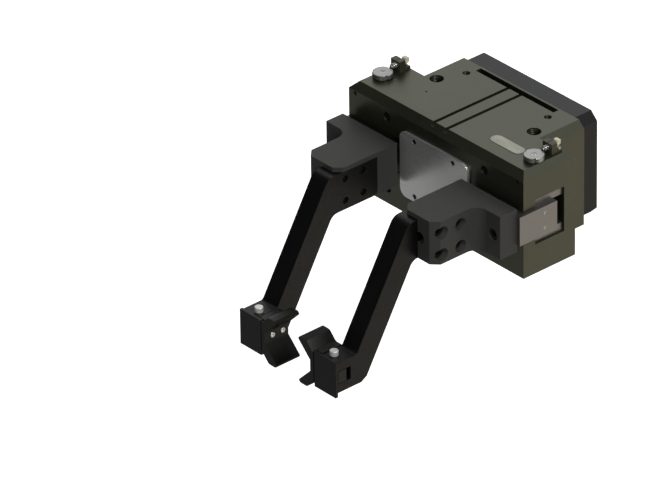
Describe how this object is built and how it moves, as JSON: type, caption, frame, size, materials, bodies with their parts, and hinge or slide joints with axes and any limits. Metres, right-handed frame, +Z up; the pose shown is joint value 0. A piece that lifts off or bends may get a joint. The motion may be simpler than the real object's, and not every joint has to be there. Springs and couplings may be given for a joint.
{
  "type": "pneumatic gripper",
  "caption": "Parallel pneumatic gripper with sliding jaws, cranked arms and self-aligning V pads that grip a round bar ahead of and below the housing.",
  "frame": {"origin": "centre of the rear mounting face, on the back of the rear cover", "axes": "+Y out of the rear mounting face, away from the jaws; the jaws slide along X; +Z up, towards the face with the air ports"},
  "size_m": [0.374, 0.4735, 0.3053],
  "materials": {
    "housing_anodised": "satin hard anodised, dark olive grey",
    "cover_anodised": "satin anodised, dark bluish grey",
    "black_screws": "black oxide",
    "seal_rubber": "matt",
    "front_plate": "brushed",
    "steel_small": "bright, fine turned",
    "pin_steel": "dull nickel plated",
    "bronze": "turned",
    "plate": "satin, pale beige",
    "piston_alloy": "turned",
    "guide_plastic": "matt",
    "chromed_rod": "polished",
    "hardened_steel": "ground",
    "jaw_steel": "ground",
    "adapter_anodised": "matt black anodised",
    "arm_steel": "satin black",
    "carrier_steel": "blackened",
    "pad_steel": "blackened",
    "disc_steel": "turned",
    "bracket_anodised": "anodised, near black",
    "sensor_sleeve": "satin",
    "plug_plastic": "ivory"
  },
  "bodies": {
    "housing_body": {"housing": "housing_anodised", "rear_cover": "cover_anodised", "rear_cover_screws": "black_screws", "cover_o_ring": "seal_rubber", "front_cover": "front_plate", "front_cover_screws": "black_screws", "rod_bush": "bronze", "rod_seal": "seal_rubber", "nameplate": "plate", "switch_disc_right": "disc_steel", "disc_screw_right": "steel_small", "sensor_bracket_right": "bracket_anodised", "sensor_right": "sensor_sleeve", "sensor_plug_right": "plug_plastic", "bracket_screw_right": "steel_small", "switch_disc_left": "disc_steel", "disc_screw_left": "steel_small", "sensor_bracket_left": "bracket_anodised", "sensor_left": "sensor_sleeve", "sensor_plug_left": "plug_plastic", "bracket_screw_left": "steel_small"},
    "piston_body": {"piston": "piston_alloy", "piston_seal": "seal_rubber", "piston_guide_ring": "guide_plastic", "piston_rod": "chromed_rod", "piston_screw": "black_screws", "wedge_hook": "hardened_steel", "wedge_screw": "black_screws"},
    "jaw_right": {"base_jaw_right": "jaw_steel", "jaw_end_plugs_right": "steel_small", "centring_sleeves_right": "hardened_steel", "jaw_adapter_right": "adapter_anodised", "adapter_screws_right": "black_screws", "arm_right": "arm_steel", "arm_screws_right": "black_screws", "pad_pin_right": "pin_steel"},
    "pad_right": {"pad_carrier_right": "carrier_steel", "v_pad_right": "pad_steel", "pad_screws_right": "steel_small"},
    "jaw_left": {"base_jaw_left": "jaw_steel", "jaw_end_plugs_left": "steel_small", "centring_sleeves_left": "hardened_steel", "jaw_adapter_left": "adapter_anodised", "adapter_screws_left": "black_screws", "arm_left": "arm_steel", "arm_screws_left": "black_screws", "pad_pin_left": "pin_steel"},
    "pad_left": {"pad_carrier_left": "carrier_steel", "v_pad_left": "pad_steel", "pad_screws_left": "steel_small"}
  },
  "joints": [
    {"name": "jaw_right_slide", "type": "slide", "parent": "housing_body", "child": "jaw_right", "axis": [1, 0, 0], "range_m": [-0.022, 0.013]},
    {"name": "jaw_left_slide", "type": "slide", "parent": "housing_body", "child": "jaw_left", "axis": [-1, 0, 0], "range_m": [-0.022, 0.013]},
    {"name": "piston_slide", "type": "slide", "parent": "housing_body", "child": "piston_body", "axis": [0, 1, 0], "range_m": [-0.013, 0.022]},
    {"name": "pad_right_swivel", "type": "hinge", "parent": "jaw_right", "child": "pad_right", "pos_m": [0.079, -0.4565, -0.1675], "axis": [0, 0, 1], "range_deg": [-2.5, 2.5]},
    {"name": "pad_left_swivel", "type": "hinge", "parent": "jaw_left", "child": "pad_left", "pos_m": [-0.079, -0.4565, -0.1675], "axis": [0, 0, 1], "range_deg": [-2.5, 2.5]}
  ],
  "couplings": [
    {"joint": "jaw_left_slide", "follows": "jaw_right_slide", "ratio": 1},
    {"joint": "piston_slide", "follows": "jaw_right_slide", "ratio": -1}
  ]
}
